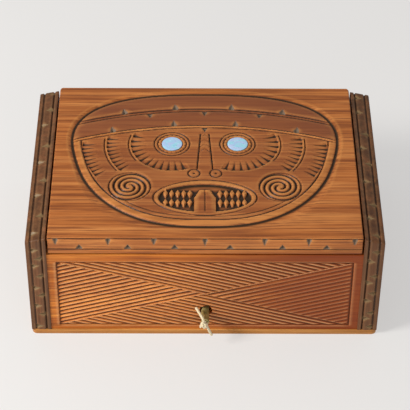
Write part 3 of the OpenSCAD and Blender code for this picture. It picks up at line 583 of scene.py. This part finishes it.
frontPanel = makePanel()
keyholeX, keyholeZ = panel["keyhole"]
keyholeY = (panel["front"] + panel["inner"]) / 2
cutAway(frontPanel, [rodCutter((keyholeX, keyholeY, keyholeZ), panel["keyholeR"], 24,
                               (math.pi / 2, 0, 0))])
smoothBoard(frontPanel, 50)
print("front fluted:", len(frontPanel.data.polygons), "faces")

# The end boards and their notched borders
endBoard = {
    "inner": 115.2, "outer": 130.0, "front": -87.0, "back": 87.0, "bottom": 4.5, "top": 97.7,
    "fall": 3.3, "frontR": 1.6, "backR": 5.0, "stripInner": 3.4, "stripOuter": 3.6, "edgeR": 0.5,
    "line": (2.0, 1.15), "notch": (5.2, 0.78, 2.3),     # width, share of the band, depth
    # notches on the front and the top, beside the lid and outside, for the left and right board
    "notchFront": {-1: ((79, 61, 41, 21), (88, 72, 49, 30, 8)),
                   1: ((77, 55, 36, 17), (87, 62, 44, 23, 8))},
    "notchTop": {-1: ((82.4, 61.8, 18.3, -21.3, -60.4), (43.9, -0.2, -37.5, -78.6)),
                 1: ((78, 60, 17, -21.5, -62), (34, -1, -47, -80))},
    "housing": 3.0, "panels": ((-86.2, -77.2), (70.8, 79.8)), "panelTop": 81.5,
    "frontStep": 0.5, "topStep": 0.6, "columnStep": 0.45,
}


def makeEnd(name, side):
    s = endBoard
    low, high = sorted((side * s["inner"], side * s["outer"]))
    rows = boardPath([(s["front"], s["bottom"], 0.01), (s["front"], s["top"], s["frontR"]),
                      (s["back"], s["top"], s["backR"]), (s["back"], s["bottom"], 0.01)],
                     [s["frontStep"], s["topStep"], 6.0])
    columns = boardColumns(low, high, s["columnStep"], s["edgeR"])
    x = np.tile(columns, (len(rows), 1))
    y = np.tile(rows[:, 0:1], (1, len(columns)))
    z = np.tile(rows[:, 1:2], (1, len(columns)))
    inward = np.abs(x) - s["inner"]                 # 0 at the lid, 14.8 outside
    thick = s["outer"] - s["inner"]
    outerLine, innerLine = thick - s["stripOuter"], s["stripInner"]
    lines = np.maximum(vCut(np.abs(inward - outerLine), *s["line"]),
                       vCut(np.abs(inward - innerLine), *s["line"]))
    front, top = rows[:, 2] < -0.99, rows[:, 3] > 0.99
    width, share, deep = s["notch"]
    size = (width, (outerLine - innerLine) * share, deep)
    notches = np.zeros_like(x)
    for rowsHere, along, (byLid, outside) in ((front, z, s["notchFront"][side]),
                                              (top, y, s["notchTop"][side])):
        here = np.maximum(chips(inward, along, [(innerLine, h, 0) for h in byLid], *size),
                          chips(inward, along, [(outerLine, h, math.pi) for h in outside], *size))
        notches = np.where(rowsHere[:, None], here, notches)
    cuts = np.maximum(lines, notches)
    cavity = hollows(cuts)
    cavity[:, [0, -1]] = 0
    depth = np.maximum(cuts, endRounding(x, low, high, s["edgeR"]))

    def height(x, z):
        fall = s["fall"] * (np.abs(x) - s["inner"]) / thick
        rise = s["top"] - fall - s["bottom"]
        return s["bottom"] + (z - s["bottom"]) * rise / (s["top"] - s["bottom"])

    piece = makeBoard(name, columns, rows, depth, height=height,
                      layers={"cavity": cavity, "chipped": 1.0 * (notches > lines)})
    face = side * s["inner"]
    left, right = sorted((face - side, face + side * s["housing"]))
    housings = [boxCutter((left, a, s["bottom"] - 1), (right, b, s["panelTop"]))
                for a, b in s["panels"]]
    cutAway(piece, housings)
    smoothBoard(piece, 50)
    return piece


leftEnd = makeEnd("leftEndBoard", -1)
rightEnd = makeEnd("rightEndBoard", 1)
print("end boards notched")


# Pieces that keep the CAD's shape, with softened edges
def softened(node, name, width):
    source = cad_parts[node]
    piece = bpy.data.objects.new(name, source.data.copy())
    bpy.context.scene.collection.objects.link(piece)
    piece.data.materials.clear()
    pick(piece)
    bpy.ops.object.mode_set(mode="EDIT")
    bpy.ops.mesh.select_all(action="SELECT")
    bpy.ops.mesh.remove_doubles(threshold=1e-6)
    bpy.ops.mesh.dissolve_limited(angle_limit=math.radians(1))
    bpy.ops.object.mode_set(mode="OBJECT")
    bevel = piece.modifiers.new("soften", "BEVEL")
    bevel.width = width * mm
    bevel.segments = 2
    bevel.limit_method = "ANGLE"
    bevel.angle_limit = math.radians(40)
    bpy.ops.object.modifier_apply(modifier=bevel.name)
    smoothBoard(piece, 35)
    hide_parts(node)
    return piece


baseBoard = softened("base_board", "baseBoard", 0.7)
backPanel = softened("back_panel", "backPanel", 0.4)


shellDisc = {
    "middleZ": 97.65, "thick": 1.5, "sides": 72,
    "crown": ((0.25, 0.12), (0.6, 0.08), (1.5, 0.07), (2.4, 0.04)),     # steps inwards and up
}


def makeDisc(name, side):
    s = shellDisc
    ex, ey = mask["eye"]
    place = (side * ex * mm, (ey + mask["middleY"]) * mm, s["middleZ"] * mm)
    clearSelection()
    bpy.ops.mesh.primitive_cylinder_add(vertices=s["sides"], radius=mask["discR"] * mm,
                                        depth=s["thick"] * mm, location=place)
    disc = bpy.context.object
    disc.name = disc.data.name = name
    bpy.ops.object.transform_apply(location=True, rotation=True, scale=True)
    bpy.ops.object.mode_set(mode="EDIT")
    bpy.ops.mesh.select_mode(type="FACE")
    bpy.ops.mesh.select_all(action="DESELECT")
    bpy.ops.object.mode_set(mode="OBJECT")
    for face in disc.data.polygons:
        face.select = face.normal.z > 0.9
    bpy.ops.object.mode_set(mode="EDIT")
    for width, rise in s["crown"]:
        bpy.ops.mesh.inset(thickness=width * mm)
        bpy.ops.transform.translate(value=(0, 0, rise * mm))
    bpy.ops.object.mode_set(mode="OBJECT")
    smoothBoard(disc, 40)
    return disc


leftDisc = makeDisc("leftShellDisc", -1)
rightDisc = makeDisc("rightShellDisc", 1)


# Finishes
def newMaterial(name):
    material = bpy.data.materials.new(name)
    material.use_nodes = True
    tree = material.node_tree
    return material, tree, tree.nodes["Principled BSDF"]


def colour(code):
    parts = [int(code[i:i + 2], 16) / 255 for i in (1, 3, 5)]
    return tuple(p / 12.92 if p <= 0.04045 else ((p + 0.055) / 1.055) ** 2.4 for p in parts) + (1,)


def stretchedNoise(tree, scale, detail=4, roughness=0.6, turn=(0, 0, 0), distortion=0.0):
    where = tree.nodes.new("ShaderNodeTexCoord")
    mapping = tree.nodes.new("ShaderNodeMapping")
    mapping.inputs["Scale"].default_value = scale
    mapping.inputs["Rotation"].default_value = turn
    noise = tree.nodes.new("ShaderNodeTexNoise")
    noise.inputs["Scale"].default_value = 1
    noise.inputs["Detail"].default_value = detail
    noise.inputs["Roughness"].default_value = roughness
    noise.inputs["Distortion"].default_value = distortion
    tree.links.new(where.outputs["Object"], mapping.inputs["Vector"])
    tree.links.new(mapping.outputs["Vector"], noise.inputs["Vector"])
    return noise.outputs["Fac"]


def ramp(tree, source, stops):
    node = tree.nodes.new("ShaderNodeValToRGB")
    tree.links.new(source, node.inputs["Fac"])
    marks = node.color_ramp.elements
    while len(marks) < len(stops):
        marks.new(0.5)
    for mark, (place, code) in zip(marks, stops):
        mark.position = place
        mark.color = colour(code) if isinstance(code, str) else (code, code, code, 1)
    return node.outputs["Color"]


def mixed(tree, share, first, second, mode="MIX"):
    node = tree.nodes.new("ShaderNodeMix")
    node.data_type = "RGBA"
    node.blend_type = mode
    sockets = (node.inputs[0], node.inputs[6], node.inputs[7])
    for socket, value in zip(sockets, (share, first, second)):
        if isinstance(value, (float, int, tuple)):
            socket.default_value = value
        else:
            tree.links.new(value, socket)
    return node.outputs[2]


def reading(tree, name):
    node = tree.nodes.new("ShaderNodeAttribute")
    node.attribute_name = name
    return node.outputs["Fac"]


def rangeOf(tree, source, low, high, toLow=0.0, toHigh=1.0):
    node = tree.nodes.new("ShaderNodeMapRange")
    node.inputs["From Min"].default_value = low
    node.inputs["From Max"].default_value = high
    node.inputs["To Min"].default_value = toLow
    node.inputs["To Max"].default_value = toHigh
    tree.links.new(source, node.inputs["Value"])
    return node.outputs["Result"]


def bumpFrom(tree, source, distance, strength):
    node = tree.nodes.new("ShaderNodeBump")
    node.inputs["Distance"].default_value = distance
    node.inputs["Strength"].default_value = strength
    tree.links.new(source, node.inputs["Height"])
    return node.outputs["Normal"]


# The grain of every wood: how fine it is across and along, in waves a metre
grain = {"broad": (150, 6), "fibre": (640, 14), "patches": (14, 14, 14), "rough": (0.42, 0.62),
         "specular": 0.3, "bump": (0.00012, 0.5)}
# In each carved wood, the hollow colour lays a dark stain with painted shade into the carved
# hollows. The crest colour lightens the ridges with wear and a painted highlight.
woods = {
    "lidWood": {
        "along": (1, 0, 0), "tones": ("#884818", "#B4682E", "#D08646"), "patina": "#70381A",
        "hollowShadeAndStain": "#2E2010", "crest": "#D8944E", "chip": "#7A6856", "tint": "#7C4428",
        "recessShare": 0.97,
    },
    "panelWood": {
        "along": (1, 0, 0), "tones": ("#92500E", "#C0681E", "#E08C38"), "patina": "#843E0C",
        "hollowShadeAndStain": "#562A0A", "crest": "#FABC80", "chip": "#7A6856", "tint": "#82482A",
        "recessShare": 0.97, "stain": (-0.03, 0.07, 0.8, "#7A2E06"),    # from and to along X
    },
    "stainedWood": {
        "along": (0, 0, 1), "tones": ("#402614", "#644226", "#825232"), "patina": "#5C3418",
        "hollowShadeAndStain": "#2E1C0E", "crest": "#9C744A", "chip": "#866C48", "tint": "#54382C",
        "recessShare": 0.7,
    },
    "edgeWood": {
        "along": (1, 0, 0), "tones": ("#9C622A", "#BE803C", "#D69A54"), "patina": "#915C2A",
    },
}


def woodFinish(name):
    s = woods[name]
    material, tree, shader = newMaterial(name)
    along = np.array(s["along"], float)
    streak = lambda fine, long: tuple(fine + (long - fine) * along)
    broad = stretchedNoise(tree, streak(*grain["broad"]), detail=5, distortion=0.3)
    fibre = stretchedNoise(tree, streak(*grain["fibre"]), detail=6, roughness=0.7)
    patches = stretchedNoise(tree, grain["patches"], detail=3)
    dark, middle, light = s["tones"]
    patina = colour(s["patina"])
    body = ramp(tree, broad, [(0.3, dark), (0.48, middle), (0.68, light)])
    body = mixed(tree, rangeOf(tree, patches, 0.45, 0.75, 0, 0.45), body, patina)
    body = mixed(tree, rangeOf(tree, fibre, 0.48, 0.66, 0, 0.9), body, patina)
    body = mixed(tree, rangeOf(tree, fibre, 0.46, 0.3, 0, 0.6), body, colour(light))
    if "stain" in s:
        start, stop, share, code = s["stain"]
        where = tree.nodes.new("ShaderNodeTexCoord")
        split = tree.nodes.new("ShaderNodeSeparateXYZ")
        tree.links.new(where.outputs["Object"], split.inputs["Vector"])
        stained = rangeOf(tree, split.outputs["X"], start, stop, 0, share)
        body = mixed(tree, stained, body, colour(code))
    if "hollowShadeAndStain" in s:       # the carved boards carry these readings
        tinted = rangeOf(tree, reading(tree, "tint"), 0, 1, 0, 0.75)
        hollow = reading(tree, "cavity")
        chipped = rangeOf(tree, reading(tree, "chipped"), 0.2, 0.8, 0, 0.85)
        body = mixed(tree, tinted, body, colour(s["tint"]))
        # lighter on the carved ridges: worn edges plus a painted highlight
        body = mixed(tree, rangeOf(tree, hollow, -0.08, -0.45, 0, 0.5), body, colour(s["crest"]))
        # darker in the carved hollows: a dark stain plus painted shade, nearly black on the lid
        deep = rangeOf(tree, hollow, 0.04, 0.4, 0, s["recessShare"])
        body = mixed(tree, deep, body, colour(s["hollowShadeAndStain"]))
        body = mixed(tree, chipped, body, colour(s["chip"]))
    tree.links.new(body, shader.inputs["Base Color"])
    shader.inputs["Specular IOR Level"].default_value = grain["specular"]
    tree.links.new(rangeOf(tree, broad, 0.3, 0.7, *grain["rough"]), shader.inputs["Roughness"])
    tree.links.new(bumpFrom(tree, fibre, *grain["bump"]), shader.inputs["Normal"])
    return material


lidWood, panelWood, stainedWood, edgeWood = [woodFinish(name) for name in woods]


def brassFinish():
    material, tree, shader = newMaterial("agedBrass")
    stain = stretchedNoise(tree, (260, 260, 260), detail=5)
    body = ramp(tree, stain, [(0.3, "#7C7040"), (0.5, "#A2965C"), (0.72, "#C4B880")])
    tree.links.new(body, shader.inputs["Base Color"])
    shader.inputs["Metallic"].default_value = 0.45
    tree.links.new(rangeOf(tree, stain, 0.3, 0.7, 0.5, 0.32), shader.inputs["Roughness"])
    tree.links.new(bumpFrom(tree, stain, 0.00005, 0.4), shader.inputs["Normal"])
    return material


def steelFinish():
    material, tree, shader = newMaterial("dullSteel")
    stain = stretchedNoise(tree, (400, 400, 400), detail=4)
    body = ramp(tree, stain, [(0.35, "#5C5C5A"), (0.7, "#9A9A96")])
    tree.links.new(body, shader.inputs["Base Color"])
    shader.inputs["Metallic"].default_value = 1.0
    tree.links.new(rangeOf(tree, stain, 0.3, 0.7, 0.5, 0.3), shader.inputs["Roughness"])
    return material


def shellFinish():
    material, tree, shader = newMaterial("shellInlay")
    layers = stretchedNoise(tree, (90, 160, 90), detail=3, distortion=1.4)
    veins = stretchedNoise(tree, (420, 500, 420), detail=2, distortion=0.8)
    body = ramp(tree, layers, [(0.28, "#8CC4E4"), (0.42, "#9EDCEA"), (0.54, "#A8CCEE"),
                               (0.64, "#BCC4EE"), (0.75, "#A2E6E0")])
    body = mixed(tree, rangeOf(tree, veins, 0.5, 0.8, 0, 0.4), body, colour("#D8F0FA"))
    tree.links.new(body, shader.inputs["Base Color"])
    shader.inputs["Roughness"].default_value = 0.25
    shader.inputs["Coat Weight"].default_value = 0.6
    shader.inputs["Coat Roughness"].default_value = 0.08
    return material


def stringFinish():
    material, tree, shader = newMaterial("cottonString")
    fluff = stretchedNoise(tree, (2500, 2500, 2500), detail=3)
    body = ramp(tree, fluff, [(0.3, "#D6C59C"), (0.7, "#F0E4C4")])
    strandShade = rangeOf(tree, reading(tree, "cavity"), 0.2, 1.0, 0, 0.6)      # painted shade between the strands
    body = mixed(tree, strandShade, body, colour("#A8905E"))
    tree.links.new(body, shader.inputs["Base Color"])
    shader.inputs["Roughness"].default_value = 0.9
    shader.inputs["Sheen Weight"].default_value = 0.3
    tree.links.new(bumpFrom(tree, fluff, 0.0001, 0.5), shader.inputs["Normal"])
    return material


brass, steel = brassFinish(), steelFinish()
shellInlay, cottonString = shellFinish(), stringFinish()


def dress(piece, material, body, slot, *nodes):
    piece.data.materials.clear()
    piece.data.materials.append(material)
    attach(piece, body)
    if nodes:
        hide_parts(*nodes)


keyString.data.materials.append(cottonString)
dress(lidBoard, lidWood, "lid", "lid_wood", "lid_board")
dress(frontPanel, panelWood, "case", "panel_wood", "front_panel")
dress(leftEnd, stainedWood, "case", "stained_wood", "left_end_board")
dress(rightEnd, stainedWood, "case", "stained_wood", "right_end_board")
dress(baseBoard, edgeWood, "case", "base_wood")
dress(backPanel, panelWood, "case", "panel_wood")
dress(leftDisc, shellInlay, "lid", "shell", "left_shell_disc")
dress(rightDisc, shellInlay, "lid", "shell", "right_shell_disc")
brassNodes = ("left_hinge_body_leaf", "right_hinge_body_leaf", "left_hinge_lid_leaf",
              "right_hinge_lid_leaf", "left_hinge_pin", "right_hinge_pin", "hinge_body_screws",
              "hinge_lid_screws", "bearing_plate", "plate_screws", "lock_spindle", "latch_arm",
              "spindle_nut", "lid_staple", "key_barrel")
for nodes, metal in ((brassNodes, brass), (("base_screws",), steel)):
    for node in nodes:
        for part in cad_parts[node].material_slots:
            part.material = metal
print("finishes set")

# Floor and light
studio = {
    "floor": "#F2F0ED", "glow": (0.80, 0.785, 0.77), "glowShare": 0.6,
    "world": (0.96, 0.97, 1.0), "worldStrength": 0.42,
    # name, place, aim, size, watts, tint
    "lamps": (("key", (-1.15, -0.5, 0.95), (0, 0, 0.05), 0.45, 22.0, (1, 0.98, 0.95)),
              ("fill", (0.25, -1.5, 0.9), (0, 0, 0.05), 1.0, 3.0, (1, 0.99, 0.97))),
}
clearSelection()
bpy.ops.mesh.primitive_plane_add(size=8, location=(0, 1.0, 0))
floor = bpy.context.object
floor.name = "floor"
floorMaterial, tree, shader = newMaterial("paleFloor")
grainOfFloor = stretchedNoise(tree, (3, 3, 3), detail=2)
floorBody = mixed(tree, rangeOf(tree, grainOfFloor, 0.3, 0.7, 0, 0.05), colour(studio["floor"]),
                  (0.6, 0.6, 0.6, 1))
tree.links.new(floorBody, shader.inputs["Base Color"])
shader.inputs["Roughness"].default_value = 0.8
rays = tree.nodes.new("ShaderNodeLightPath")
share = rangeOf(tree, rays.outputs["Is Camera Ray"], 0, 1, 0, studio["glowShare"])
glow = tree.nodes.new("ShaderNodeEmission")
glow.inputs["Color"].default_value = (*studio["glow"], 1)
blend = tree.nodes.new("ShaderNodeMixShader")
tree.links.new(share, blend.inputs["Fac"])
tree.links.new(shader.outputs["BSDF"], blend.inputs[1])
tree.links.new(glow.outputs["Emission"], blend.inputs[2])
tree.links.new(blend.outputs["Shader"], tree.nodes["Material Output"].inputs["Surface"])
floor.data.materials.append(floorMaterial)
world = bpy.data.worlds.new("studio")
world.use_nodes = True
world.node_tree.nodes["Background"].inputs[0].default_value = (*studio["world"], 1)
world.node_tree.nodes["Background"].inputs[1].default_value = studio["worldStrength"]
bpy.context.scene.world = world
for name, place, aim, size, watts, tint in studio["lamps"]:
    clearSelection()
    turn = (Vector(aim) - Vector(place)).to_track_quat("-Z", "Y").to_euler()
    bpy.ops.object.light_add(type="AREA", location=place, rotation=turn)
    lamp = bpy.context.object
    lamp.name = name
    lamp.data.size = size
    lamp.data.energy = watts
    lamp.data.color = tint
bpy.context.scene.view_settings.view_transform = "Standard"
print("studio lit")
